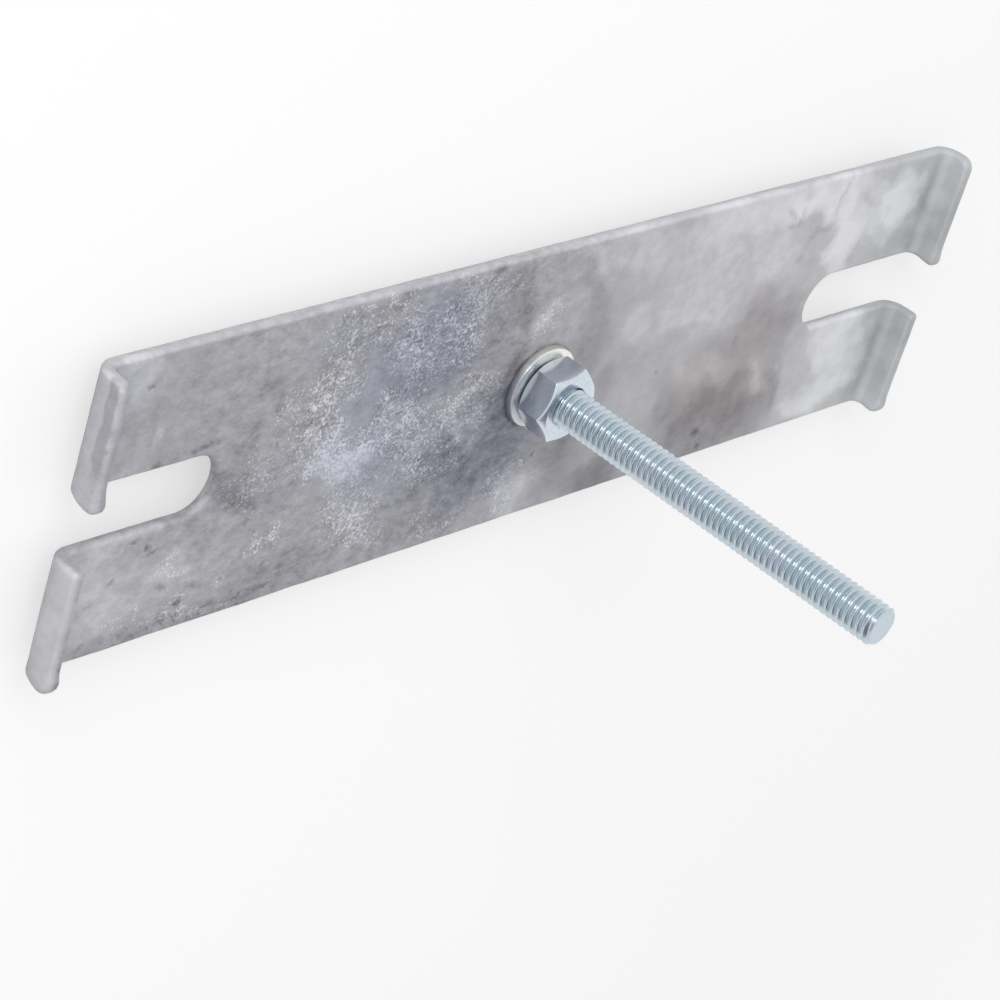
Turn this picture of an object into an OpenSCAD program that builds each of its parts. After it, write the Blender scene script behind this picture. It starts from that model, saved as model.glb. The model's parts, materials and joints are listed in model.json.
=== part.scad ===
// Post cap: a galvanised bar with bent, slotted ends and a threaded stud bolted through its centre.
// +Z runs along the stud towards its tip and +X along the plate.
// The origin is on the stud's axis, at the outer face of the bolt's head.

/* [Cap plate] */
// Overall length, over the outer faces of both lips
plate_l = 234; // [170:1:400]
// Width of the bar
plate_w = 60; // [45:0.5:120]
// Thickness of the sheet
plate_t = 2.5; // [2:0.1:4]
// Inside radius of the bends
bend_r = 2; // [1:0.1:5]
// Height of the lips, from the plate's back face to their free edge
lip_h = 8.2; // [7.5:0.1:25]
// Radius of the free corners of the lips at the bar's edges
lip_corner_r = 2.4; // [0.5:0.1:5]

/* [End slots] */
// Width of the open-ended slots
slot_w = 12; // [7:0.1:20]
// Length of a slot, from the lip's outer face to its round end
slot_l = 35; // [20:0.5:60]
// Radius of the free corners of the lips beside a slot
slot_corner_r = 1; // [0.3:0.1:3]

/* [Bolt] */
// Outside diameter of the thread
thread_d = 7.9; // [5:0.1:10]
// Pitch of the thread
thread_pitch = 1.411; // [0.8:0.001:1.6]
// Length of the bolt under its head
bolt_l = 86; // [40:0.5:160]
// Height of the bolt's head
head_h = 5.6; // [4:0.1:8]
// Width of the end chamfer of the thread
tip_chamfer = 0.4; // [0.2:0.05:1]
// Turn of the head's flats about the stud
head_turn = 25; // [0:1:59]
// Diametral clearance of the bolt in the plate's hole
plate_hole_play = 1; // [0.2:0.1:2]

/* [Washer] */
// Outside diameter of the washer
washer_d = 16.5; // [14:0.1:26]
// Thickness of the washer
washer_t = 1.6; // [0.8:0.1:3]
// Diametral clearance of the bolt in the washer
washer_play = 1.4; // [0.2:0.1:2]
// Gap left where the washer leans on the bolt
washer_gap = 0.05; // [0.02:0.01:0.08]
// Direction in which the washer sits off centre
washer_lean = 125; // [0:1:359]

/* [Nut] */
// Height of the nut
nut_h = 6.75; // [4:0.05:10]
// Turn of the nut's flats about the stud
nut_turn = 11; // [0:1:59]
// Diametral clearance in the nut's thread
nut_play = 0.1; // [0.04:0.02:0.2]
// Width of the countersink round the nut's hole, past the thread
nut_sink = 0.35; // [0.1:0.05:0.6]

/* [Hexagons] */
// Width across the flats of the nut and of the bolt's head
hex_af = 13.5; // [12:0.1:18]
// Angle of the chamfers on the hexagons
hex_chamfer = 35; // [20:1:45]
// Width of the chamfers at the middle of a flat
hex_inset = 0.45; // [0.1:0.05:0.8]

/* [Hidden] */
$fn = 96;
// Distance by which a cut runs past the surface that it opens
past = 1;
// Heights at which the pieces seat on each other
plate_z = head_h;
washer_z = plate_z + plate_t;
nut_z = washer_z + washer_t;
nut_top_z = nut_z + nut_h;
tip_z = head_h + bolt_l;
// Bends: the outside radius, and the distance from the stud to a bend's centre
bend_outer_r = bend_r + plate_t;
bend_x = plate_l / 2 - bend_outer_r;
// Centre of a slot's round end, and the largest corner radius that a lip has room for
slot_x = plate_l / 2 - slot_l + slot_w / 2;
corner_room = min(lip_h - bend_outer_r, (plate_w - slot_w) / 4);
// Inside the nut both threads are drawn at the pitch diameter, where their flanks meet
thread_depth = 0.65 * thread_pitch;
engaged_d = thread_d - thread_depth;

// Moves a piece up to the height where it seats
module seated(z) {
    translate([0, 0, z]) children();
}

// Both ends of the plate
module at_both_ends() {
    children();
    mirror([1, 0, 0]) children();
}

// Quarter ring of the sheet at a bend, seen from the plate's edge
module bend_section() {
    intersection() {
        difference() {
            circle(r = bend_outer_r);
            circle(r = bend_r);
        }
        translate([0, -bend_outer_r]) square(bend_outer_r);
    }
}

// Sheet seen from the plate's edge, from the stud out to the free edge of one lip
module half_section() {
    square([bend_x, plate_t]);
    translate([bend_x, bend_outer_r]) bend_section();
    translate([bend_x + bend_r, bend_outer_r]) square([plate_t, lip_h - bend_outer_r]);
}

// Straight bar of the bent sheet, centred across its width
module bent_bar() {
    rotate([90, 0, 0])
        linear_extrude(plate_w, center = true) {
            half_section();
            mirror([1, 0]) half_section();
        }
}

// Tool that opens a slot from its round end out through the lip
module slot_cut() {
    cut_h = lip_h + 2 * past;
    translate([slot_x, 0, -past]) {
        cylinder(d = slot_w, h = cut_h);
        translate([0, -slot_w / 2, 0]) cube([slot_l + past, slot_w, cut_h]);
    }
}

// Tool that rounds one free corner of a lip: y is the corner's side edge and side points into the lip
module lip_corner_cut(y, side, wanted_r) {
    corner_r = min(wanted_r, corner_room);
    translate([bend_x, y, lip_h])
        scale([1, side, 1])
            rotate([90, 0, 90])
                linear_extrude(bend_outer_r + past)
                    difference() {
                        translate([-past, -corner_r]) square([corner_r + past, corner_r + past]);
                        translate([corner_r, -corner_r]) circle(r = corner_r);
                    }
}

module cap_plate() {
    color("#a3a3a8")
        seated(plate_z)
            difference() {
                bent_bar();
                at_both_ends() {
                    slot_cut();
                    lip_corner_cut(-plate_w / 2, 1, lip_corner_r);
                    lip_corner_cut(-slot_w / 2, -1, slot_corner_r);
                    lip_corner_cut(slot_w / 2, 1, slot_corner_r);
                    lip_corner_cut(plate_w / 2, -1, lip_corner_r);
                }
                translate([0, 0, -past])
                    cylinder(d = thread_d + plate_hole_play, h = plate_t + 2 * past);
            }
}

// Half outline of a hexagon's chamfers, from the axis outwards; a face without chamfer stays square
module chamfer_outline(h, low, high) {
    face_r = hex_af / 2 - hex_inset;
    outer_r = hex_af / 2 / cos(30) + past;
    drop = (outer_r - face_r) * tan(hex_chamfer);
    polygon([
        [0, 0],
        [low ? face_r : outer_r, 0],
        [outer_r, low ? drop : 0],
        [outer_r, high ? h - drop : h],
        [high ? face_r : outer_r, h],
        [0, h]
    ]);
}

// Hexagon blank with its chamfered faces
module hexagon(h, low, high) {
    intersection() {
        cylinder(d = hex_af / cos(30), h = h, $fn = 6);
        rotate_extrude() chamfer_outline(h, low, high);
    }
}

module stud_bolt() {
    color("#bcc4ca") {
        rotate(head_turn) hexagon(head_h, true, false);
        rotate_extrude()
            polygon([
                [0, head_h / 2],
                [thread_d / 2, head_h / 2],
                [thread_d / 2, nut_z],
                [engaged_d / 2, nut_z],
                [engaged_d / 2, nut_top_z],
                [thread_d / 2, nut_top_z],
                [thread_d / 2, tip_z - tip_chamfer],
                [thread_d / 2 - tip_chamfer, tip_z],
                [0, tip_z]
            ]);
    }
}

module flat_washer() {
    // The washer hangs against the bolt as far as its clearance lets it
    shift = washer_play / 2 - washer_gap;
    color("#c9c8c0")
        translate([shift * cos(washer_lean), shift * sin(washer_lean), washer_z])
            difference() {
                cylinder(d = washer_d, h = washer_t);
                translate([0, 0, -past])
                    cylinder(d = thread_d + washer_play, h = washer_t + 2 * past);
            }
}

// Cone that opens the nut's hole at one face
module nut_countersink() {
    sink_h = (thread_d - engaged_d) / 2 + nut_sink;
    translate([0, 0, -past])
        cylinder(d1 = thread_d + 2 * (nut_sink + past), d2 = engaged_d - 2 * past, h = sink_h + 2 * past);
}

module hex_nut() {
    color("#c3c6cf")
        seated(nut_z)
            difference() {
                rotate(nut_turn) hexagon(nut_h, true, true);
                translate([0, 0, -past]) cylinder(d = engaged_d + nut_play, h = nut_h + 2 * past);
                nut_countersink();
                translate([0, 0, nut_h]) mirror([0, 0, 1]) nut_countersink();
            }
}

cap_plate();
stud_bolt();
flat_washer();
hex_nut();
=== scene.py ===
# %% [markdown]
# # A post cap plate with a bolted stud
# A galvanised flat bar has both ends bent up into short lips, and an open slot runs in from
# each end. A fully threaded bolt comes up through its centre, held by a washer and a nut.
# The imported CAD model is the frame: every piece made here sits exactly where its solid sits,
# and gets the small forms that a solid model leaves out, such as a real screw thread.

# %% Load the frame
import json
from math import cos, pi, radians, sin, tan

import bmesh
import bpy
from mathutils import Matrix, Vector, noise


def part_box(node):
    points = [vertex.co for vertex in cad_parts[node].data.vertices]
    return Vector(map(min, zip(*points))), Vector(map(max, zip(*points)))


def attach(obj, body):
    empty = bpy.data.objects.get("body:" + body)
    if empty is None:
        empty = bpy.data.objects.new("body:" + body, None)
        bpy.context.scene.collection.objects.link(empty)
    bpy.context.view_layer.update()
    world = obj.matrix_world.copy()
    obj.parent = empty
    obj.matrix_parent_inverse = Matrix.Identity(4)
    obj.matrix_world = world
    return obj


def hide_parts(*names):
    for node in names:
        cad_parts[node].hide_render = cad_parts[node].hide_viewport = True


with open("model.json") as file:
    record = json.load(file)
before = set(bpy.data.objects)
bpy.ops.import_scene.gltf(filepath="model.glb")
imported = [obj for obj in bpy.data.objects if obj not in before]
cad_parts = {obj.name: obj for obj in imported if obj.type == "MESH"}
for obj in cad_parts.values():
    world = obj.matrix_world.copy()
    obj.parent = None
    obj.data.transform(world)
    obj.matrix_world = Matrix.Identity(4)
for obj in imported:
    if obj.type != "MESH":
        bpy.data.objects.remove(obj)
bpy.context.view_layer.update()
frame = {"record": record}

# %% [markdown]
# ## Sizes come from the frame
# A size that is typed in twice can drift apart, so the main ones are read from the boxes of the
# CAD nodes and from the mounts of the record. Blender works in metres, so one name stands for
# a millimetre, and a size of 2.5 mm reads as 2.5 * MM.

# %% Read the sizes
MM = 0.001
mounts = {mount["name"]: mount for mount in frame["record"]["mounts"]}
plate_low, plate_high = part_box("cap_plate")
washer_low, washer_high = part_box("flat_washer")
nut_low, nut_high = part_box("hex_nut")
bolt_low, bolt_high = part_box("stud_bolt")
back_z, front_z = plate_low.z, washer_low.z
mid_z = (back_z + front_z) / 2
plate_t = front_z - back_z
slot_r = mounts["slot_right"]["dims"]["r_mm"] * MM
slot_x = mounts["slot_right"]["pos_m"][0]
thread_r = mounts["thread_stud"]["dims"]["r_mm"] * MM
print(f"plate {plate_t / MM:.2f} mm thick, slots {2 * slot_r / MM:.1f} mm wide")


# %% [markdown]
# ## The camera
# The camera was found from the photograph: straight edges, corners and the thread give its
# place, its turn and its long lens. A camera looks along its own -Z with +Y up, so its matrix
# is built from three directions: right, up, and the way back from the picture.

# %% Place the camera
def in_scene(name, data):
    """A new object of this data, linked to the scene."""
    made = bpy.data.objects.new(name, data)
    bpy.context.scene.collection.objects.link(made)
    return made


camera_data = bpy.data.cameras.new("product_camera")
camera_data.sensor_fit = "HORIZONTAL"
camera_data.sensor_width = 36.0
camera_data.lens = 131.15
camera_data.clip_start = 0.05
camera_data.clip_end = 20.0
camera = in_scene("product_camera", camera_data)
camera_place = Vector((-0.4891, 0.3086, 0.3407))
look = Vector((0.7199, -0.4916, -0.4899)).normalized()
picture_right = Vector((0.6595, 0.2645, 0.7037))
picture_right = (picture_right - look * picture_right.dot(look)).normalized()
picture_up = picture_right.cross(look)
turn = Matrix((picture_right, picture_up, -look)).transposed().to_4x4()
camera.matrix_world = Matrix.Translation(camera_place) @ turn
bpy.context.scene.camera = camera
bpy.context.scene.view_settings.view_transform = "Standard"
print(f"lens {camera_data.lens:.2f} mm, {camera_place.length:.3f} m from the origin")


# %% [markdown]
# ## Shader nodes in code
# Every finish here is a graph of small nodes. It could be clicked together in the editor, but
# then nobody could read it as text or run it again. Written out in full it would be long, so a
# few helpers add a node, plug in what it needs and give back its output.

# %% Add one node
def add(tree, kind, inputs=None, **settings):
    """Adds a node. inputs maps a socket to a plain value or to another node's output."""
    made = tree.nodes.new(kind)
    for name, value in settings.items():
        setattr(made, name, value)
    for socket, value in (inputs or {}).items():
        if isinstance(value, bpy.types.NodeSocket):
            tree.links.new(value, made.inputs[socket])
        else:
            made.inputs[socket].default_value = value
    return made


def math(tree, operation, first, second=0.0, third=0.0, clamp=False):
    """One Math node, given back as its output."""
    inputs = {0: first, 1: second, 2: third}
    return add(tree, "ShaderNodeMath", inputs, operation=operation, use_clamp=clamp).outputs[0]


def plus(tree, total, value, times, clamp=False):
    """The total plus the value, which is first multiplied by times."""
    return math(tree, "MULTIPLY_ADD", value, times, total, clamp)


def product(tree, first, *others):
    """All the values multiplied together."""
    for value in others:
        first = math(tree, "MULTIPLY", first, value)
    return first


# %% Steps, lengths and a blank material
def smooth_step(tree, value, start, end, low=0.0, high=1.0):
    """Goes smoothly from low to high while value goes from start to end."""
    return add(tree, "ShaderNodeMapRange",
               {"Value": value, "From Min": start, "From Max": end, "To Min": low, "To Max": high},
               interpolation_type="SMOOTHSTEP").outputs["Result"]


def vector_value(tree, operation, first, second=(0.0, 0.0, 0.0)):
    """A number worked out from vectors, such as their dot product or a length."""
    return add(tree, "ShaderNodeVectorMath", {0: first, 1: second},
               operation=operation).outputs["Value"]


def blank_material(name):
    """A new material, its empty node tree, and the object's own space in millimetres."""
    material = bpy.data.materials.new(name)
    material.use_nodes = True
    tree = material.node_tree
    tree.nodes.clear()
    spot = add(tree, "ShaderNodeTexCoord").outputs["Object"]
    to_mm = add(tree, "ShaderNodeMapping", {"Vector": spot, "Scale": (1 / MM, 1 / MM, 1 / MM)})
    return material, tree, to_mm.outputs[0]


# %% [markdown]
# ## A pale studio
# A white dome lights the part softly from all round, and dims towards one side as a room does.
# The background is white because the world shows white to the camera, not because more light
# falls on the part. Light Path tells the camera's rays from the rays that light or mirror.

# %% The white dome
WHITE = (1.0, 1.0, 1.0, 1.0)
world = bpy.data.worlds.new("white_dome")
bpy.context.scene.world = world
world.use_nodes = True
sky = world.node_tree
sky.nodes.clear()
ray = add(sky, "ShaderNodeLightPath").outputs
way = add(sky, "ShaderNodeTexCoord").outputs["Generated"]
dim_side = (0.03, -0.35, 0.936)
facing = vector_value(sky, "DOT_PRODUCT", way, dim_side)
dimming = smooth_step(sky, facing, 0.82, 0.97, 1.0, 0.22)
# Matt surfaces are lit by this share of the dome, and mirrors see all of it
matt_share = 0.65
share = plus(sky, matt_share, ray["Is Glossy Ray"], 1 - matt_share)
strength = math(sky, "MAXIMUM", product(sky, share, dimming), ray["Is Camera Ray"])
dome = add(sky, "ShaderNodeBackground", {"Color": WHITE, "Strength": strength})
add(sky, "ShaderNodeOutputWorld", {"Surface": dome.outputs[0]})
print("white dome:", len(sky.nodes), "nodes")


# %% [markdown]
# One large soft lamp gives the edges a direction. It casts no highlight: a narrow strip lamp
# before it does, and draws a thin line of light down the thread.

# %% Two soft lamps
def soft_lamp(name, place, width, height, power):
    """A flat lamp that faces the middle of the part."""
    data = bpy.data.lights.new(name, "AREA")
    data.shape = "RECTANGLE"
    data.size, data.size_y = width, height
    data.energy = power
    lamp = in_scene(name, data)
    aim = Vector(place).to_track_quat("Z", "Y").to_matrix().to_4x4()
    lamp.matrix_world = Matrix.Translation(place) @ aim
    return lamp


key_lamp = soft_lamp("key_lamp", (-0.8, 0.9, 0.6), width=0.9, height=0.9, power=8.0)
key_lamp.visible_glossy = False
strip_lamp = soft_lamp("strip_lamp", (-0.72, 0.81, 0.54), width=0.30, height=0.8, power=2.6)
for lamp in (key_lamp, strip_lamp):
    print(f"{lamp.name}: {lamp.data.energy:.1f} W")

# %% [markdown]
# The floor is one large square that takes the part's shadow. Under a gentle light it would be
# grey, so it also glows, but only for the camera and in mirrors, where it lights nothing. The
# glow grows with the distance, so that the floor fades into the white of the dome.

# %% The floor
floor_bm = bmesh.new()
bmesh.ops.create_grid(floor_bm, x_segments=1, y_segments=1, size=6.0)
floor_mesh = bpy.data.meshes.new("studio_floor")
floor_bm.to_mesh(floor_mesh)
floor_bm.free()
floor = in_scene("studio_floor", floor_mesh)

paper, paper_tree, paper_mm = blank_material("white_paper")
ray = add(paper_tree, "ShaderNodeLightPath").outputs
seen = math(paper_tree, "MAXIMUM", ray["Is Camera Ray"], ray["Is Glossy Ray"])
seen = math(paper_tree, "MAXIMUM", seen, ray["Is Transmission Ray"])
away = vector_value(paper_tree, "LENGTH", paper_mm)
brightness = add(paper_tree, "ShaderNodeMapRange",
                 {"Value": away, "From Min": 300.0, "From Max": 1500.0,
                  "To Min": 0.56, "To Max": 0.80}).outputs["Result"]
matt = add(paper_tree, "ShaderNodeBsdfDiffuse", {"Color": (0.50, 0.50, 0.50, 1)})
glow = add(paper_tree, "ShaderNodeEmission",
           {"Color": WHITE, "Strength": product(paper_tree, seen, brightness)})
both = add(paper_tree, "ShaderNodeAddShader", {0: matt.outputs[0], 1: glow.outputs[0]})
add(paper_tree, "ShaderNodeOutputMaterial", {"Surface": both.outputs[0]})
floor_mesh.materials.append(paper)
print("floor at z = 0, under the head of the bolt")

# %% [markdown]
# ## From a bmesh to a piece
# Each piece is shaped in a bmesh and then becomes one object at the origin, with its place in
# its mesh. It rides on the one body of this part and stands for its CAD node, which is hidden.

# %% Turn a bmesh into a piece
# Points nearer to each other than this are one point
SEAM = 0.002 * MM


def piece(bm, name, node, smooth_under):
    """Makes the object of one piece, and closes its seams first."""
    bmesh.ops.remove_doubles(bm, verts=bm.verts, dist=SEAM)
    bmesh.ops.recalc_face_normals(bm, faces=bm.faces)
    for face in bm.faces:
        face.smooth = True
    for edge in bm.edges:
        edge.smooth = len(edge.link_faces) == 2 and edge.calc_face_angle() < radians(smooth_under)
    open_edges = sum(not edge.is_manifold for edge in bm.edges)
    mesh = bpy.data.meshes.new(name)
    bm.to_mesh(mesh)
    bm.free()
    made = in_scene(name, mesh)
    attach(made, "root")
    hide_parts(node)
    print(f"{name}: {len(mesh.polygons)} faces, {open_edges} open edges")
    return made


# %% Cut and round a shape
def all_parts(bm):
    """Every vertex, edge and face, as the operators want them."""
    return bm.verts[:] + bm.edges[:] + bm.faces[:]


def plane_cut(bm, place, direction, clear_outer=False):
    """Cuts the whole mesh along a plane. clear_outer also drops what lies beyond it."""
    return bmesh.ops.bisect_plane(bm, geom=all_parts(bm), dist=1e-7, plane_co=place,
                                  plane_no=direction, clear_outer=clear_outer)


def round_off(bm, geom, width, segments, affect="EDGES", clamp_overlap=False):
    """Rounds edges or corners with a bevel."""
    bmesh.ops.bevel(bm, geom=geom, offset=width, offset_type="OFFSET", segments=segments,
                    profile=0.5, affect=affect, material=-1, clamp_overlap=clamp_overlap)


def cut_out(bm, tool):
    """Takes one closed shape out of another with a Boolean modifier."""
    pair = []
    for name, shape in (("blank", bm), ("tool", tool)):
        bmesh.ops.recalc_face_normals(shape, faces=shape.faces)
        mesh = bpy.data.meshes.new(name)
        shape.to_mesh(mesh)
        shape.free()
        pair.append(in_scene(name, mesh))
    blank, cutter = pair
    cut = blank.modifiers.new("cut", "BOOLEAN")
    cut.operation = "DIFFERENCE"
    cut.solver = "EXACT"
    cut.object = cutter
    left_over = bmesh.new()
    left_over.from_object(blank, bpy.context.evaluated_depsgraph_get())
    for temporary in pair:
        bpy.data.objects.remove(temporary)
    return left_over


# %% [markdown]
# ## The plate, cut flat and then folded
# The real plate starts as a flat blank. A press cuts the two slots, and a brake folds up the
# ends through both tongues. The mesh goes the same way: a flat outline with rounded corners is
# made first, it gets its thickness and its soft edges, and its ends are folded last. That keeps
# the wall thickness true through the bend, which is hard to hold when a bent shape is drawn.

# %% Sizes of the flat blank
bend_in_r = 2.0 * MM
lip_corner_r = 2.4 * MM
slot_corner_r = 1.0 * MM
bend_r = bend_in_r + plate_t
bend_x = plate_high.x - bend_r
bend_z = back_z + bend_r
fold_run = pi / 2 * (bend_in_r + 0.5 * plate_t)
lip_run = plate_high.z - bend_z
blank_x = bend_x + fold_run + lip_run
half_w = plate_high.y
slot_end = slot_x - slot_r
print(f"the blank is {2 * blank_x / MM:.1f} mm long before it is folded")


# %% Cut the outline of the blank
def round_corners(bm, x, y, radius, segments):
    """Rounds the outline's corners at this place, at both ends and on both sides."""
    places = [Vector((a * x, b * y)) for a in (-1, 1) for b in (-1, 1)]
    corners = [v for v in bm.verts if any((v.co.xy - p).length < 0.01 * MM for p in places)]
    round_off(bm, corners, radius, segments, affect="VERTICES")


plate = bmesh.new()
bmesh.ops.create_grid(plate, x_segments=1, y_segments=1, size=1.0)
bmesh.ops.scale(plate, vec=(blank_x, half_w, 1), verts=plate.verts)
for place, direction in [((slot_end, 0, 0), (1, 0, 0)), ((-slot_end, 0, 0), (1, 0, 0)),
                         ((0, slot_r, 0), (0, 1, 0)), ((0, -slot_r, 0), (0, 1, 0))]:
    plane_cut(plate, place, direction)
in_slot = [f for f in plate.faces
           if abs(f.calc_center_median().x) > slot_end and abs(f.calc_center_median().y) < slot_r]
bmesh.ops.delete(plate, geom=in_slot, context="FACES")
bmesh.ops.dissolve_faces(plate, faces=plate.faces[:])
on_line = [v for v in plate.verts if len(v.link_edges) == 2 and v.calc_edge_angle() < 0.01]
bmesh.ops.dissolve_verts(plate, verts=on_line)
round_corners(plate, slot_end, slot_r, radius=slot_r, segments=16)
round_corners(plate, blank_x, half_w, radius=lip_corner_r, segments=6)
round_corners(plate, blank_x, slot_r, radius=slot_corner_r, segments=5)
bmesh.ops.remove_doubles(plate, verts=plate.verts, dist=0.01 * MM)
print(f"outline of {len(plate.verts)} points in {len(plate.faces)} face")

# %% [markdown]
# The outline is pulled up to the thickness of the sheet, and a bevel softens every rim, as the
# zinc does. Hot zinc never leaves a surface flat either, so the sheet is then sliced into a fine
# net that can carry small waves. The slices also give the folds their round shape. The bevel
# comes before the slices, because a bevel is held back by the shortest edge that it meets.

# %% Thickness and soft rims
rim_soft = 0.85 * MM
bmesh.ops.translate(plate, vec=(0, 0, back_z), verts=plate.verts)
pulled = bmesh.ops.extrude_face_region(plate, geom=plate.faces[:], use_keep_orig=True)
lifted = [v for v in pulled["geom"] if isinstance(v, bmesh.types.BMVert)]
bmesh.ops.translate(plate, vec=(0, 0, plate_t), verts=lifted)
bmesh.ops.recalc_face_normals(plate, faces=plate.faces)
rims = [e for e in plate.edges if abs(e.verts[0].co.z - e.verts[1].co.z) < 1e-6]
round_off(plate, rims, rim_soft, segments=4)
print(f"{len(rims)} rim edges softened")


# %% Slice the sheet into a net
def slice_along(bm, axis, stops):
    """Cuts the mesh across one axis at each stop."""
    for stop in stops:
        place, direction = Vector(), Vector()
        place[axis], direction[axis] = stop, 1.0
        plane_cut(bm, place, direction)


net = 1.0 * MM
fold_slices, lip_slices = 10, 4
flat_stops = [i * net for i in range(int(bend_x / net))]
fold_stops = [bend_x + fold_run * i / fold_slices for i in range(fold_slices + 1)]
lip_stops = [bend_x + fold_run + lip_run * i / lip_slices for i in range(1, lip_slices)]
across_stops = [i * net for i in range(1, int(half_w / net))]
slice_along(plate, 0, [side * x for x in flat_stops + fold_stops + lip_stops for side in (-1, 1)])
slice_along(plate, 1, [0] + [side * y for y in across_stops for side in (-1, 1)])
print(f"net of {len(plate.faces)} faces")


# %% Fold both ends
def folded(point):
    """Where a point of the flat blank lands once its end is folded up."""
    side = 1 if point.x > 0 else -1
    run = side * point.x - bend_x
    if run <= 0:
        return point
    angle = pi / 2 * min(run / fold_run, 1.0)
    past_bend = max(run - fold_run, 0.0)
    drop = bend_z - point.z
    x = bend_x + drop * sin(angle) + past_bend * cos(angle)
    z = bend_z - drop * cos(angle) + past_bend * sin(angle)
    return Vector((side * x, point.y, z))


for vert in plate.verts:
    vert.co = folded(vert.co)
print(f"lips folded up to z = {max(vert.co.z for vert in plate.verts) / MM:.1f} mm")

# %% [markdown]
# Zinc that cools slowly keeps shallow waves, and the last of it runs to the lower corner of each
# lip and freezes as a bead. Both are small enough for a bump map, but the bead shows in the
# outline, so each point of the net is moved along its normal instead.

# %% Small waves in the zinc, and its beads
# The same seed gives the same waves and clouds on every run
noise.seed_set(11)
broad_wave, small_wave = 0.09 * MM, 0.045 * MM
broad_scale, small_scale = 70, 320
left_bead, right_bead = 0.60 * MM, 0.40 * MM
bead_reach = 4.5 * MM
bead_below_edge = 1.0 * MM


def zinc_wave(point):
    """Height of the zinc at a point: broad waves and small ripples."""
    broad = noise.noise(point * broad_scale)
    # Moved aside, so that the ripples don't repeat the waves
    small = noise.noise(point * small_scale + Vector((3, 7, 1)))
    return broad_wave * broad + small_wave * small


def bead(point):
    """Extra zinc where the molten metal ran down to the lower end of a lip."""
    if abs(point.x) < bend_x:
        return 0.0
    end_y = -half_w if point.y < -slot_r + MM else slot_r
    corner = Vector((0, end_y, plate_high.z - bead_below_edge))
    away = (Vector((0, point.y, point.z)) - corner).length / bead_reach
    size = left_bead if point.x < 0 else right_bead
    return size * max(0.0, 1 - away * away) ** 2


plate.normal_update()
moves = [(vert, vert.normal * (zinc_wave(vert.co) + bead(vert.co))) for vert in plate.verts]
for vert, move in moves:
    vert.co += move
print(f"largest move {max(move.length for vert, move in moves) / MM:.2f} mm")

# %% [markdown]
# The hole for the bolt is drilled last, with a Boolean. It is hidden under the washer and the
# head, but a real plate has it, and a part that is taken apart shows it.

# %% Drill the hole
hole_play = 1.0 * MM
hole_r = thread_r + hole_play / 2
drill = bmesh.new()
bmesh.ops.create_cone(drill, cap_ends=True, segments=64, radius1=hole_r, radius2=hole_r,
                      depth=3 * plate_t, matrix=Matrix.Translation((0, 0, mid_z)))
plate = cut_out(plate, drill)
cap_plate = piece(plate, "galvanised_plate", "cap_plate", smooth_under=50)


# %% [markdown]
# ## Round pieces from a spun outline
# The washer is a ring stamped from sheet: its rims are soft and it is the same all the way
# round. An outline of a few points, spun about an axis, makes such a shape with clean quads.
# The same helper makes the blanks of the nut and of the bolt's head.

# %% Spin an outline
def chain(bm, places, closed=False):
    """Adds points joined by edges, ready for a spin."""
    points = [bm.verts.new(place) for place in places]
    for start, end in zip(points, points[1:] + points[:1] if closed else points[1:]):
        bm.edges.new((start, end))


def spun(outline, steps, centre=(0, 0), closed=True):
    """Spins an outline of (radius, height) points about an upright axis."""
    bm = bmesh.new()
    chain(bm, [(radius, 0, height) for radius, height in outline], closed)
    bmesh.ops.spin(bm, geom=bm.verts[:] + bm.edges[:], cent=(0, 0, 0), axis=(0, 0, 1),
                   dvec=(0, 0, 0), angle=2 * pi, steps=steps, use_merge=True)
    bmesh.ops.remove_doubles(bm, verts=bm.verts, dist=SEAM)
    bmesh.ops.translate(bm, vec=(*centre, 0), verts=bm.verts)
    return bm


# %% The washer
washer_play = 1.4 * MM
washer_mid = (washer_low + washer_high) / 2
washer_r = (washer_high.x - washer_low.x) / 2
washer_hole_r = thread_r + washer_play / 2
low, high = washer_low.z, washer_high.z
# The upper rims are round, over two facets, and the lower ones have a small break
soft, soft_mid = 0.28 * MM, 0.09 * MM
washer_outline = [
    (washer_hole_r + 0.1 * MM, low), (washer_r - 0.12 * MM, low), (washer_r, low + 0.15 * MM),
    (washer_r, high - soft), (washer_r - soft_mid, high - soft_mid), (washer_r - soft, high),
    (washer_hole_r + soft, high), (washer_hole_r + soft_mid, high - soft_mid),
    (washer_hole_r, high - soft), (washer_hole_r, low + 0.1 * MM),
]
washer = spun(washer_outline, steps=96, centre=washer_mid.xy)
flat_washer = piece(washer, "zinc_washer", "flat_washer", smooth_under=35)

# %% [markdown]
# ## A real screw thread
# A thread is one small outline that climbs as it turns. Spin can do that: dvec lifts each step
# a little, and the outline is exactly one pitch high, so that every turn meets the turn below.
# The outline has the 60 degree flanks, the rolled, rounded roots and the narrow crests of an
# inch thread. A texture could only fake this, and its edge would stay straight.

# %% The outline of one turn
# 18 threads to the inch
pitch = 25.4 / 18 * MM
turn_steps = 40
# Height along the stud and depth under the crest, both in pitches
thread_outline = [(0.0, 0.600), (0.09, 0.560), (0.15, 0.480), (0.405, 0.050), (0.445, 0.010),
                  (0.5, 0.0), (0.555, 0.010), (0.595, 0.050), (0.85, 0.480), (0.91, 0.560),
                  (1.0, 0.600)]
print(f"pitch {pitch / MM:.3f} mm, {len(thread_outline)} points in the outline")


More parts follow.
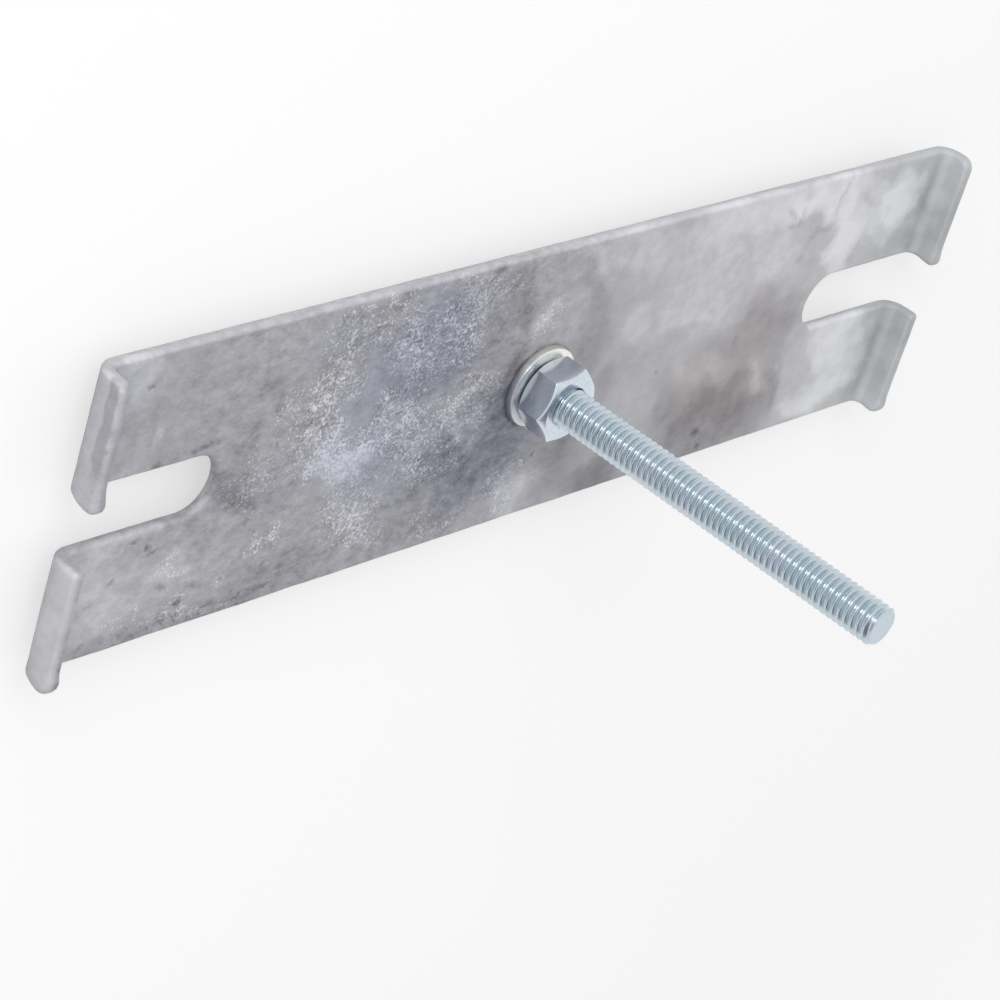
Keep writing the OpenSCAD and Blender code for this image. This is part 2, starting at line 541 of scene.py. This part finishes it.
# %% A threaded rod
def threaded_rod(start_z, end_z, extra=0.0):
    """A threaded rod from one height to another, with its outside radius grown by extra."""
    # The first turn starts a little too low, a whole number of turns away from z = 0
    phase = start_z - start_z % pitch - pitch
    bm = bmesh.new()
    chain(bm, [(thread_r + extra - depth * pitch, 0, phase + height * pitch)
               for height, depth in thread_outline])
    bmesh.ops.spin(bm, geom=bm.verts[:] + bm.edges[:], cent=(0, 0, 0), axis=(0, 0, 1),
                   dvec=(0, 0, pitch / turn_steps), angle=2 * pi, steps=turn_steps,
                   use_merge=False)
    # Every copy doubles the number of turns
    turns = 1
    while phase + turns * pitch < end_z:
        again = bmesh.ops.duplicate(bm, geom=all_parts(bm))
        lifted = [v for v in again["geom"] if isinstance(v, bmesh.types.BMVert)]
        bmesh.ops.translate(bm, vec=(0, 0, turns * pitch), verts=lifted)
        turns *= 2
    bmesh.ops.remove_doubles(bm, verts=bm.verts, dist=2 * SEAM)
    for height, outwards in ((start_z, -1), (end_z, 1)):
        plane_cut(bm, (0, 0, height), (0, 0, outwards), clear_outer=True)
    rim = [e for e in bm.edges if e.is_boundary]
    bmesh.ops.holes_fill(bm, edges=rim, sides=0)
    return bm


# %% [markdown]
# The tip is chamfered after the thread is rolled, so the last turns fade into a cone. Here the
# points near the tip are drawn in to that cone, which leaves the roots where they are.

# %% The stud with its chamfered tip
# The shank starts inside the head, under the plate
shank_z = back_z - 2.0 * MM
tip_r = thread_r - 0.45 * pitch
tip_slope = 1.15
stud = threaded_rod(shank_z, bolt_high.z)
for vert in stud.verts:
    cone_r = tip_r + (bolt_high.z - vert.co.z) * tip_slope
    radius = vert.co.xy.length
    if radius > cone_r:
        vert.co.x *= cone_r / radius
        vert.co.y *= cone_r / radius
print(f"{(bolt_high.z - nut_high.z) / pitch:.1f} turns show above the nut")

# %% [markdown]
# ## Hexagons with turned chamfers
# A nut and a bolt's head are hexagon bars whose corners are turned off at an angle, which
# leaves the curved upper edges on the flats. The mesh is made the other way round, because it
# is simpler: a round, chamfered blank is spun, and six planes cut its flats. Where a plane cuts
# the cone, the curve appears by itself.

# %% A hexagon blank
hex_af = 13.5 * MM
hex_inset = 0.45 * MM
hex_chamfer = radians(35)
# The blank reaches this far past the hexagon's corners
hex_spare = 1.0 * MM
hex_face_r = hex_af / 2 - hex_inset
hex_outer_r = hex_af / 2 / cos(radians(30)) + hex_spare
hex_drop = (hex_outer_r - hex_face_r) * tan(hex_chamfer)


def hexagon(outline, turned, closed=True):
    """Cuts six flats on a spun blank."""
    bm = spun(outline, steps=144, closed=closed)
    for i in range(6):
        angle = turned + radians(30 + 60 * i)
        direction = Vector((cos(angle), sin(angle), 0))
        cut = plane_cut(bm, direction * hex_af / 2, direction, clear_outer=True)
        rim = [e for e in cut["geom_cut"] if isinstance(e, bmesh.types.BMEdge)]
        bmesh.ops.holes_fill(bm, edges=rim, sides=0)
    return bm


def soft_corners(bm, width):
    """Takes the sharpness off a hexagon's edges, and leaves the facets of its round faces."""
    bmesh.ops.recalc_face_normals(bm, faces=bm.faces)
    sharp = [e for e in bm.edges if e.is_manifold and e.calc_face_angle() > radians(22)]
    round_off(bm, sharp, width, segments=2, clamp_overlap=True)


# %% The bolt's head
head_turn = radians(25)
head_z = bolt_low.z
# A shallow dish in the outer face, as a forged head has
dish_r, dish_floor_r, dish_depth = 4.2 * MM, 3.8 * MM, 0.2 * MM
head_outline = [
    (0, back_z), (hex_outer_r, back_z), (hex_outer_r, head_z + hex_drop), (hex_face_r, head_z),
    (dish_r, head_z), (dish_floor_r, head_z + dish_depth), (0, head_z + dish_depth),
]
head = hexagon(head_outline, head_turn, closed=False)
soft_corners(head, width=0.12 * MM)
print(f"head: {len(head.faces)} faces")


# %% [markdown]
# The shank and the head are two closed shells in one mesh. The shank ends inside the head, where
# nobody sees it, so the pair looks like the one forged piece that it is.

# %% Join the head and the stud
def join(bm, other):
    """Adds a second bmesh to the first one."""
    carrier = bpy.data.meshes.new("carrier")
    other.to_mesh(carrier)
    other.free()
    bm.from_mesh(carrier)
    bpy.data.meshes.remove(carrier)


join(stud, head)
stud_bolt = piece(stud, "threaded_bolt", "stud_bolt", smooth_under=40)

# %% [markdown]
# ## The nut
# A tap cuts the thread of a real nut. A Boolean modifier does the same here: a rod with the
# bolt's own thread, grown by a small clearance, is taken out of the hexagon. Both threads count
# their turns from z = 0, so the bolt's turns lie in the nut's grooves and nothing overlaps.

# %% Hexagon with a tapped hole
nut_turn = radians(11)
tap_play = 0.04 * MM
bore_r = thread_r - 0.53 * pitch
sink_r = thread_r + 0.35 * MM
sink_h = sink_r - bore_r
nut_outline = [
    (bore_r, nut_low.z + sink_h), (sink_r, nut_low.z), (hex_face_r, nut_low.z),
    (hex_outer_r, nut_low.z + hex_drop), (hex_outer_r, nut_high.z - hex_drop),
    (hex_face_r, nut_high.z), (sink_r, nut_high.z), (bore_r, nut_high.z - sink_h),
]
nut = hexagon(nut_outline, nut_turn)
soft_corners(nut, width=0.13 * MM)
tap = threaded_rod(nut_low.z - 1 * MM, nut_high.z + 1 * MM, extra=tap_play)
tapped = cut_out(nut, tap)
hex_nut = piece(tapped, "hexagon_nut", "hex_nut", smooth_under=30)

# %% [markdown]
# ## Hot-dip zinc on the plate
# Molten zinc freezes in clouds, runs and a frosty crust, and it has small pits. None of that
# repeats, so an image would be a poor choice. Noise in millimetres of the object's own space
# gives the clouds and the grain. The big marks are listed one by one, as soft oval patches with
# torn borders, because each one has its own place on the real plate; a few of the dark ones are
# painted shadow of the nut, the washer and the stud. The wide ones are painted onto the points
# of the net; the pits are too fine for that, so they are nodes.

# %% Marks listed one by one
# Each mark: x, y, half length and half width in millimetres, turn in degrees, strength
# Painted shadow: the dark marks at (-11, -12), (-9, 4) and (28, -28) stand for the shadow of the
# nut, the washer and the stud; the other dark marks are clouds in the zinc
DARK_CLOUDS_AND_SHADOWS = [
    (-11, -12, 17, 14, -35, 0.62), (-24, -15, 15, 10, -10, 0.20), (-26, -25, 13, 6, 0, 0.35),
    (-32, 13, 16, 11, -5, 0.35), (-14, 22, 6, 10, 8, 0.45), (-9, 4, 8, 9, 0, 0.66),
    (-77, 1, 6, 13, 10, 0.40), (-60, -25, 20, 6, 0, 0.30), (-70, -6, 8, 7, 30, 0.15),
    (-93, 8, 14, 3, 4, 0.20), (-75, 16, 10, 5, -15, 0.20), (-45, 24, 22, 8, 0, 0.18),
    (61, -22, 27, 13, -5, 1.22), (69, -3, 17, 12, -10, 0.80), (45, -13, 12, 8, -20, 0.38),
    (28, -28, 12, 8, -8, 1.05), (14, -18, 10, 12, 0, 0.50), (13, 5, 6, 8, 0, 0.45),
    (9, 17, 3, 12, 35, 0.45), (68, 23, 1.6, 4, 15, 0.70), (66, 20.5, 3.5, 1.0, -30, 0.55),
    (81, 25, 5, 1.8, 30, 0.70), (77, 18, 1.6, 6, -35, 0.55), (73, 12, 3, 1.4, 0, 0.55),
    (93, 21, 5, 1.8, -40, 0.40), (99, 14, 6, 2.6, -50, 0.50), (79, -18, 2.5, 11, 12, 0.50),
    (30, 2, 10, 6, -20, 0.25), (86, 28, 8, 1.2, 0, 0.15), (112, 17, 4, 14, 0, 0.30),
    (112, -18, 4, 14, 0, 0.30), (105, 9, 6, 3.0, 0, 0.25), (115, 0, 4.5, 36, 0, 0.40),
    (62, 7, 9, 4, -20, 0.20), (-40, 6, 9, 6, 0, 0.34), (-6, -5, 6, 5, 0, 0.22),
    (60, -16, 12, 4, 0, 0.12), (52, -5, 9, 4, 0, 0.30), (21, -5, 7, 5, 0, 0.46),
    (-16, 15, 6, 5, 0, 0.20), (0, -14, 14, 5, 0, 0.18), (-76, -5, 6, 5, 0, 0.20),
    (-27, -14, 6, 5, 0, 0.20), (15, -15, 5, 5, 0, 0.25),
]
PALE_CLOUDS = [
    (-53, -4, 11, 6, -15, 0.70), (-43, -18, 10, 7, -30, 0.28), (-108, 0, 7, 32, 0, 0.40),
    (-19, -3, 3, 8, 25, 0.45), (-5, 17, 4, 6, 0, 0.80), (2, -25, 9, 6, 20, 0.80),
    (-13, -27, 8, 4, 10, 0.15), (40, 20, 30, 9, -5, 0.50), (18, 27, 16, 6, 0, 0.40),
    (61, 27, 31, 7, -3, 1.00), (92, 21, 18, 11, 0, 0.60), (104, 16, 8, 8, 0, 0.40),
    (87, 14, 5, 14, 8, 1.00), (96, -8, 12, 14, 0, 0.90), (103, -16, 11, 16, 0, 0.50),
    (104, 22, 8, 10, 0, 0.60), (72, -16, 4, 6, 0, 0.60), (-97, -5.5, 16, 2.2, -2, 0.60),
    (-88, -16, 4, 3, 0, 0.35), (-67, -17, 7, 2, 25, 0.40), (-108, -16, 9, 12, 0, 0.35),
    (-100, 12, 3, 5, -25, 0.60), (-80, 24, 6, 4, 20, 0.30), (-95, -18, 24, 10, 0, 0.35),
    (-111, 24, 6, 8, 0, 0.50), (15, -8, 4, 7, -20, 0.30), (62, -24, 3, 2, 0, 0.30),
    (47, 3, 12, 4, -15, 0.20), (46, 8, 40, 8, -2, 0.42), (77, 26, 13, 6, 0, 0.60),
    (-105, 27, 7, 5, 0, 0.50), (-104, -26, 12, 5, 0, 0.45), (98, -25, 14, 6, 0, 0.75),
    (99, 16, 10, 7, 0, 0.60), (84, -5, 6, 5, 0, 0.40), (26, 5, 7, 5, 0, 0.30),
    (-46, -5, 7, 5, 0, 0.80), (-38, 26, 16, 5, 0, 0.18), (66, 15, 11, 6, 0, 0.32),
    (5, 26, 6, 4, 0, 0.30), (-55, 4, 6, 5, 0, 0.28), (-15, -5, 5, 4, 0, 0.25),
    (46, -5, 5, 4, 0, 0.30),
]
CRUST = [
    (-59, 6, 9, 15, 10, 1.1), (-49, -2, 13, 8, -20, 1.2), (-38, 1, 14, 7, -8, 1.2),
    (-20, 0, 7, 9, 25, 0.8), (-54, 22, 13, 8, 0, 0.70), (-41, 19, 4, 11, 15, 0.70),
    (-43, -18, 12, 8, -25, 0.9), (-26, 24, 14, 8, 0, 0.70), (-67, -17, 8, 2.5, 25, 1.0),
    (-89, -16, 4, 3, 0, 0.5), (-30, -8, 16, 6, -15, 0.55), (-32, 15, 16, 9, 0, 0.60),
    (-20, -25, 9, 5, 0, 0.4), (-4, 17, 4, 7, 0, 0.5), (-4, -23, 8, 6, 0, 0.5),
    (-86, -26, 20, 2.5, -4, 0.5), (-70, 13, 5, 2, -10, 0.5), (-72, -3, 9, 10, 0, 0.35),
    (-99, -8, 3, 2, 0, 0.5), (3, -17, 2, 3, 0, 0.7), (-22, -15, 2, 2, 0, 0.7),
]
COOL_CAST = [
    (-36, 15, 22, 15, 0, 0.9), (-10, -15, 18, 14, -40, 1.0), (-48, -4, 20, 9, -10, 0.5),
    (-42, 4, 24, 22, 0, 0.45), (-30, 25, 18, 6, 0, 0.4), (-32, -14, 22, 9, 0, 0.5),
    (-8, -2, 12, 8, 0, 0.7), (-24, -4, 10, 8, 0, 0.4), (-76, -8, 20, 14, 0, 0.25),
    (-111, 18, 8, 14, 0, 0.6), (-60, 24, 12, 8, 0, 0.4),
]
WARM_CAST = [
    (60, -15, 28, 15, -18, 1.0), (-14, 22, 6, 10, 0, 0.6), (22, 8, 18, 14, 0, 0.4),
    (68, 0, 16, 10, -25, 0.7), (-92, 22, 16, 8, 0, 0.3), (-80, -14, 20, 8, 0, 0.3),
]
PITS = [
    (-104, 23.5, 1.0, 0.8, 0, 0.9), (-111, -5, 1.3, 0.7, 20, 0.9), (-95, -10, 1.6, 0.6, -50, 0.9),
    (-93.5, -11.5, 2.2, 0.5, 10, 0.6), (-98.6, -8, 1.0, 0.7, 0, 0.4),
    (-102, -15.5, 1.3, 0.7, 20, 0.7), (-106, -19, 1.4, 0.6, 30, 0.5),
    (-84, -24.5, 1.5, 1.0, 30, 0.9), (-89, -20, 2.6, 0.6, -35, 0.5),
    (-81, -21.5, 2.6, 0.8, -20, 0.6), (-87.5, 8, 4.0, 0.7, 8, 0.5), (-98, 7, 1.5, 0.8, 0, 0.6),
    (-76, 17, 3.0, 0.7, -20, 0.35), (-62, -27, 2.4, 0.6, 0, 0.5), (-115, -25, 0.9, 0.7, 0, 0.6),
    (57.5, -24, 1.7, 1.2, -30, 0.6), (60, -28, 1.4, 0.8, -30, 0.6),
    (60.5, -3.5, 1.4, 1.8, 0, 0.3), (100, 19, 1.4, 1.2, 0, 0.3), (-21, 29, 3.0, 0.8, 0, 0.5),
    (69.5, 23.5, 0.8, 1.8, 20, 0.5), (-115.5, -28, 1.2, 0.7, 0, 0.6),
]
print(len(DARK_CLOUDS_AND_SHADOWS + PALE_CLOUDS + CRUST), "clouds and patches of crust,",
      len(COOL_CAST + WARM_CAST), "casts and", len(PITS), "pits placed by hand")

# %% Painting the wide marks onto the net
# A mark ends at this many times its half size, and fades out over this share of it
MARK_EDGE, MARK_FADE = 1.15, 0.9
# How far a border is torn, in millimetres, and by how many waves per millimetre
TEAR, TEAR_SCALE = 5.0, 0.11


def cover(spot, marks):
    """How much the marks cover a spot in millimetres."""
    total = 0.0
    for x, y, length, width, turned, strength in marks:
        along, across = spot.x - x, spot.y - y
        # Most marks are too far away to count
        if abs(along) + abs(across) > 1.8 * (length + width):
            continue
        c, s = cos(radians(turned)), sin(radians(turned))
        away = Vector(((along * c + across * s) / length, (across * c - along * s) / width)).length
        fade = min(1.0, max(0.0, (MARK_EDGE - away) / MARK_FADE))
        total += strength * fade * fade * (3 - 2 * fade)
    return total


def paint(name, marks, most):
    """Stores on every point of the front how much these marks cover it."""
    layer = cap_plate.data.attributes.new(name, "FLOAT", "POINT")
    for number, vert in enumerate(cap_plate.data.vertices):
        if vert.co.z > mid_z:
            spot = vert.co / MM
            torn = spot + TEAR * noise.turbulence_vector(spot * TEAR_SCALE, 4, False)
            layer.data[number].value = min(most, cover(torn, marks))
    print(f"{name}: {len(marks)} marks painted")


for layer_name, layer_marks, layer_most in (
        ("pale", PALE_CLOUDS, 1.5), ("dark", DARK_CLOUDS_AND_SHADOWS, 1.5), ("crust", CRUST, 1.3),
        ("cool", COOL_CAST, 1.0), ("warm", WARM_CAST, 1.0)):
    paint(layer_name, layer_marks, layer_most)


# %% Helpers for noise and colour
def noise_at(tree, place, scale, detail=3.0, rough=0.55, output="Fac"):
    """Noise from 0 to 1, at so many waves per millimetre."""
    return add(tree, "ShaderNodeTexNoise", {"Vector": place, "Scale": scale, "Detail": detail,
                                            "Roughness": rough}).outputs[output]


def vector(tree, operation, first, second=(0.0, 0.0, 0.0), scale=1.0):
    """One Vector Math node, given back as its output."""
    return add(tree, "ShaderNodeVectorMath", {0: first, 1: second, 3: scale},
               operation=operation).outputs[0]


def mixed(tree, amount, first, second, blend="MIX"):
    """Two colours mixed, given back as one output."""
    # The node also has sockets for numbers, and its colours are 6 and 7
    return add(tree, "ShaderNodeMix", {0: amount, 6: first, 7: second},
               data_type="RGBA", blend_type=blend).outputs[2]


def painted(tree, name):
    """Reads one painted layer."""
    return add(tree, "ShaderNodeAttribute", attribute_name=name).outputs["Fac"]


# %% [markdown]
# ### One number for the tone
# The whole finish hangs on one number, the tone: 0 is the darkest zinc and 1 the palest. Clouds,
# grain, crust, pits and stains each push it up or down, and a ramp turns it into colour at the
# end. That is easier to balance than a stack of mixed colours. The plate isn't the same all
# over, so soft zones say where a change begins.

# %% The plate's own space, and its zones
zinc, tree, mm = blank_material("galvanised_steel")
axes = add(tree, "ShaderNodeSeparateXYZ", {0: mm}).outputs


def zone(axis, start, full, low=0.0, high=1.0):
    """Grows from low to high between two places on an axis, in millimetres."""
    return smooth_step(tree, axes[axis], start, full, low, high)


# The back face gets another part of the same noise, and none of the placed marks
back_shift = 400.0
behind = math(tree, "LESS_THAN", axes["Z"], mid_z / MM)
shift = add(tree, "ShaderNodeCombineXYZ", {"X": math(tree, "MULTIPLY", behind, back_shift)})
mm = vector(tree, "ADD", mm, shift.outputs[0])
# The same space with its places shuffled a little, for ragged borders
shuffle = noise_at(tree, mm, 0.9, detail=4.0, rough=0.65, output="Color")
shuffle = vector(tree, "SUBTRACT", shuffle, (0.5, 0.5, 0.5))
frayed = vector(tree, "ADD", mm, vector(tree, "SCALE", shuffle, scale=2.6))
towards_right = zone("X", -12.0, 25.0)
far_left = zone("X", -80.0, -100.0)
lip_face = zone("X", -115.6, -116.4)
print("space and zones:", len(tree.nodes), "nodes")

# %% Clouds
tone = plus(tree, 0.290, noise_at(tree, mm, 0.05, detail=4.0), 0.22)
# Painted light: the outer face of the left lip is painted paler, as if lit from the left; the
# right part of the plate is paler too
for area, paler in ((lip_face, 0.17), (towards_right, 0.07), (zone("X", -10.0, 100.0), 0.17)):
    tone = plus(tree, tone, area, paler)
blot = noise_at(tree, mm, 0.25, detail=4.0, rough=0.6)
unevenness = 0.40
for area, calmer in ((towards_right, -0.16), (far_left, -0.14)):
    unevenness = plus(tree, unevenness, area, calmer)
tone = plus(tree, tone, math(tree, "SUBTRACT", blot, 0.5), unevenness)
# A painted cloud is mostly soft, with a ragged step inside it
border = plus(tree, -0.4, blot, 0.8)
# The dark layer also holds the painted shadow of the nut, the washer and the stud
for layer_name, soft_share, ragged_share in (("pale", 0.23, 0.07), ("dark", -0.28, -0.04)):
    amount = painted(tree, layer_name)
    ragged = smooth_step(tree, math(tree, "ADD", amount, border), 0.22, 0.62)
    tone = plus(tree, tone, amount, soft_share)
    tone = plus(tree, tone, ragged, ragged_share)
print("with clouds:", len(tree.nodes), "nodes")

# %% Grain
# Slanting grain of one to two millimetres, calmer where the skin is smooth
streaks = add(tree, "ShaderNodeMapping",
              {"Vector": mm, "Rotation": (0.0, 0.0, radians(40)), "Scale": (0.75, 1.3, 1.0)})
grain = noise_at(tree, streaks.outputs[0], 0.55, detail=6.0, rough=0.75)
grain_strength = 0.85
for area, calmer in ((towards_right, -0.60), (far_left, -0.25), (lip_face, -0.25)):
    grain_strength = plus(tree, grain_strength, area, calmer)
tone = plus(tree, tone, math(tree, "SUBTRACT", grain, 0.5), grain_strength)
print("with grain:", len(tree.nodes), "nodes")

# %% [markdown]
# ### Frosty crust
# In places the zinc froze in pale crystals on a darker ground. They aren't spread evenly: they
# come in clumps, and join where the crust is thick. So a fine noise gives the specks, and a slow
# one, together with the painted layer, decides how strong a speck has to be to show.

# %% Specks and scratches
crust = painted(tree, "crust")
clumps = noise_at(tree, mm, 0.22, detail=5.0, rough=0.65)
thick = plus(tree, math(tree, "SUBTRACT", crust, 1.2), clumps, 2.4)
specks = noise_at(tree, mm, 1.7, detail=6.0, rough=0.72)
needed = plus(tree, 0.60, thick, -0.11)
frost = smooth_step(tree, math(tree, "SUBTRACT", specks, needed), -0.06, 0.09)
patches = smooth_step(tree, noise_at(tree, mm, 0.55), 0.30, 0.70, 0.45, 1.35)
frost = product(tree, frost, patches)
# Thin scratches follow one height line of a slow noise
line = math(tree, "SUBTRACT", noise_at(tree, mm, 0.21, rough=0.6), 0.47)
line = smooth_step(tree, math(tree, "ABSOLUTE", line), 0.010, 0.002)
line = product(tree, line, smooth_step(tree, specks, 0.42, 0.50))
frost = product(tree, math(tree, "MAXIMUM", frost, line),
                smooth_step(tree, thick, -0.05, 0.30), smooth_step(tree, crust, 0.02, 0.20))
tone = plus(tree, tone, crust, -0.11)
tone = plus(tree, tone, frost, 0.62)
print("with crust:", len(tree.nodes), "nodes")


# %% [markdown]
# ### Pits, a darker band and painted shade
# Ash and dross leave small dark pits in the zinc. Most come from noise, and the ones that stand
# out are listed one by one. A ragged band along the left lip is darker too, and painted shade
# darkens the crease round the washer.

# %% Pits
def pits_at(tree, place, marks):
    """The deepest of several small soft ovals in millimetres."""
    deepest = 0.0
    for x, y, length, width, turned, strength in marks:
        # The scale of 1000 makes the oval a tall column, so its height never counts
        local = add(tree, "ShaderNodeMapping",
                    {"Vector": place, "Location": (x, y, 0.0),
                     "Rotation": (0.0, 0.0, radians(turned)),
                     "Scale": (length, width, 1000.0)}, vector_type="TEXTURE").outputs[0]
        away = vector_value(tree, "LENGTH", local)
        inside = math(tree, "SUBTRACT", MARK_EDGE, away)
        depth = math(tree, "MULTIPLY", inside, strength, clamp=True)
        deepest = math(tree, "MAXIMUM", depth, deepest)
    return deepest


loose = add(tree, "ShaderNodeTexVoronoi", {"Vector": frayed, "Scale": 0.16}).outputs
chosen = add(tree, "ShaderNodeSeparateColor", {0: loose["Color"]}).outputs[0]
dots = product(tree, smooth_step(tree, loose["Distance"], 0.13, 0.03),
               math(tree, "GREATER_THAN", chosen, 0.78))
edge_band = product(tree, zone("Y", -25.0, -27.5), zone("X", -55.0, -68.0),
                    zone("X", -109.0, -105.0))
scabs = smooth_step(tree, noise_at(tree, mm, 0.8, detail=5.0, rough=0.75), 0.52, 0.66)
scabs = product(tree, scabs, edge_band)
pit = math(tree, "MAXIMUM", product(tree, dots, 0.6), product(tree, scabs, 0.5))
pit = math(tree, "MAXIMUM", pits_at(tree, frayed, PITS), pit)
print(f"{len(PITS)} pits placed, {len(tree.nodes)} nodes")

# %% A darker band and painted shade
# A ragged darker band runs along the middle of the left lip, on its outer face
height = plus(tree, axes["Z"], blot, 3.0)
lip_dark_band = product(tree, smooth_step(tree, height, 12.4, 12.9),
                    smooth_step(tree, height, 15.3, 14.6), zone("X", -115.8, -116.3),
                    zone("Y", 10.0, 16.0, 0.25, 1.0), zone("Y", 5.0, 7.0))
# Painted shade: a dark ring in the crease round the washer, where the washer shades the plate
from_washer = vector(tree, "SUBTRACT", mm, (washer_mid.x / MM, washer_mid.y / MM, 0.0))
from_washer = vector(tree, "MULTIPLY", from_washer, (1.0, 1.0, 0.0))
ring = plus(tree, vector_value(tree, "LENGTH", from_washer), blot, 1.2)
washer_crease_shade = smooth_step(tree, ring, washer_r / MM + 1.7, washer_r / MM + 0.5)
dark_band_and_shade = math(tree, "MAXIMUM", lip_dark_band, washer_crease_shade)
# Painted light: the long side at the top is painted paler on its left half, as light from above
# would make it
lit_top_side = product(tree, zone("Y", 28.9, 29.7), zone("X", 70.0, 10.0))
for area, paler in ((edge_band, -0.08), (lit_top_side, 0.17), (dark_band_and_shade, -0.22)):
    tone = plus(tree, tone, area, paler)
tone = plus(tree, tone, pit, -0.40, clamp=True)
print("with pits and stains:", len(tree.nodes), "nodes")

# %% [markdown]
# ### From tone to skin
# The ramp goes from dark violet grey to pale grey, and a tint shifts it to a cooler or warmer
# cast in places. The crust is rougher than the pale skin and stands proud of it, and the pits
# are sunk in, so the same numbers also feed the roughness and the bump.

# %% The galvanised finish
ramp = add(tree, "ShaderNodeValToRGB", {"Fac": tone})
stops = ramp.color_ramp.elements
stops[0].position, stops[0].color = 0.0, (0.13, 0.13, 0.14, 1)
stops[1].position, stops[1].color = 1.0, (0.86, 0.87, 0.89, 1)
stops.new(0.33).color = (0.385, 0.385, 0.405, 1)
stops.new(0.66).color = (0.60, 0.605, 0.62, 1)
plain_tint, cool_tint = (0.99, 0.98, 1.0, 1), (0.865, 0.872, 1.0, 1)
warm_tint, green_tint = (1.0, 0.95, 0.935, 1), (0.965, 0.99, 0.985, 1)
tint = mixed(tree, painted(tree, "cool"), plain_tint, cool_tint)
tint = mixed(tree, painted(tree, "warm"), tint, warm_tint)
tint = mixed(tree, zone("X", 88.0, 112.0), tint, green_tint)
colour = mixed(tree, 1.0, ramp.outputs["Color"], tint, blend="MULTIPLY")
rough = plus(tree, 0.52, frost, 0.20)
rough = plus(tree, rough, grain, 0.15, clamp=True)
relief = plus(tree, math(tree, "MULTIPLY", grain, 0.8), frost, 0.5)
relief = plus(tree, relief, pit, -1.2)
bump = add(tree, "ShaderNodeBump", {"Strength": 0.8, "Distance": 0.14 * MM, "Height": relief})
skin = add(tree, "ShaderNodeBsdfPrincipled",
           {"Base Color": colour, "Metallic": 0.25, "Roughness": rough,
            "Normal": bump.outputs["Normal"]})
add(tree, "ShaderNodeOutputMaterial", {"Surface": skin.outputs[0]})
cap_plate.data.materials.append(zinc)
print("galvanised finish:", len(tree.nodes), "nodes")


# %% [markdown]
# ## Bright zinc on the small pieces
# The bolt, the nut and the washer are plated in a bath, which leaves a thin, bright film. One
# even metal would look like chrome, so a slow noise lets the colour drift, as the film does, and
# a finer one makes the shine uneven and dulls it in specks. The three differ only in colour, in
# roughness and in whether one side is painted paler, as if lit, so one recipe serves them all.

# %% Bright zinc
def bright_zinc(name, colour, film_and_lit_colour, roughness, painted_light_side=(0.0, 0.0, 0.0)):
    """Zinc plate: a metal with a thin film, whose shine changes from place to place.
    The side argument says how fast the film colour gains on each axis, per millimetre, which
    paints that side paler, as if lit."""
    material, tree, mm = blank_material(name)
    cloud = noise_at(tree, mm, 0.35, detail=4.0, rough=0.6)
    fine = noise_at(tree, mm, 2.6, detail=5.0, rough=0.75)
    # Painted light: the film colour gains towards this side, so that side looks paler, as if lit
    side = vector_value(tree, "DOT_PRODUCT", mm, painted_light_side)
    film_and_light_side = math(tree, "ADD", noise_at(tree, mm, 0.16), side)
    film_and_light_side = smooth_step(tree, film_and_light_side, 0.42, 0.66)
    tint = mixed(tree, film_and_light_side, (*colour, 1), (*film_and_lit_colour, 1))
    wear = smooth_step(tree, fine, 0.36, 0.56, 0.86, 1.0)
    worn = add(tree, "ShaderNodeCombineXYZ", {"X": wear, "Y": wear, "Z": wear}).outputs[0]
    tint = mixed(tree, 1.0, tint, worn, blend="MULTIPLY")
    # Both noises are near 0.5 on average, and there the roughness is as asked for
    shine = plus(tree, roughness - 0.12, cloud, 0.14)
    shine = plus(tree, shine, fine, 0.10, clamp=True)
    bump = add(tree, "ShaderNodeBump", {"Strength": 0.5, "Distance": 0.02 * MM, "Height": fine})
    metal = add(tree, "ShaderNodeBsdfPrincipled",
                {"Base Color": tint, "Metallic": 1.0, "Roughness": shine,
                 "Normal": bump.outputs["Normal"]})
    add(tree, "ShaderNodeOutputMaterial", {"Surface": metal.outputs[0]})
    print(f"{name}: {len(tree.nodes)} nodes")
    return material


stud_bolt.data.materials.append(bright_zinc(
    "bright_zinc_thread", (0.54, 0.63, 0.68), (0.59, 0.645, 0.725), roughness=0.19))
hex_nut.data.materials.append(bright_zinc(
    "nut_zinc", (0.65, 0.715, 0.78), (0.69, 0.735, 0.81), roughness=0.22))
# On the washer, painted light: the pale film colour gains towards +X and +Y, as if that side were
# lit
flat_washer.data.materials.append(bright_zinc(
    "washer_zinc", (0.60, 0.61, 0.64), (0.90, 0.885, 0.84), roughness=0.30,
    painted_light_side=(0.03, 0.03, 0.0)))
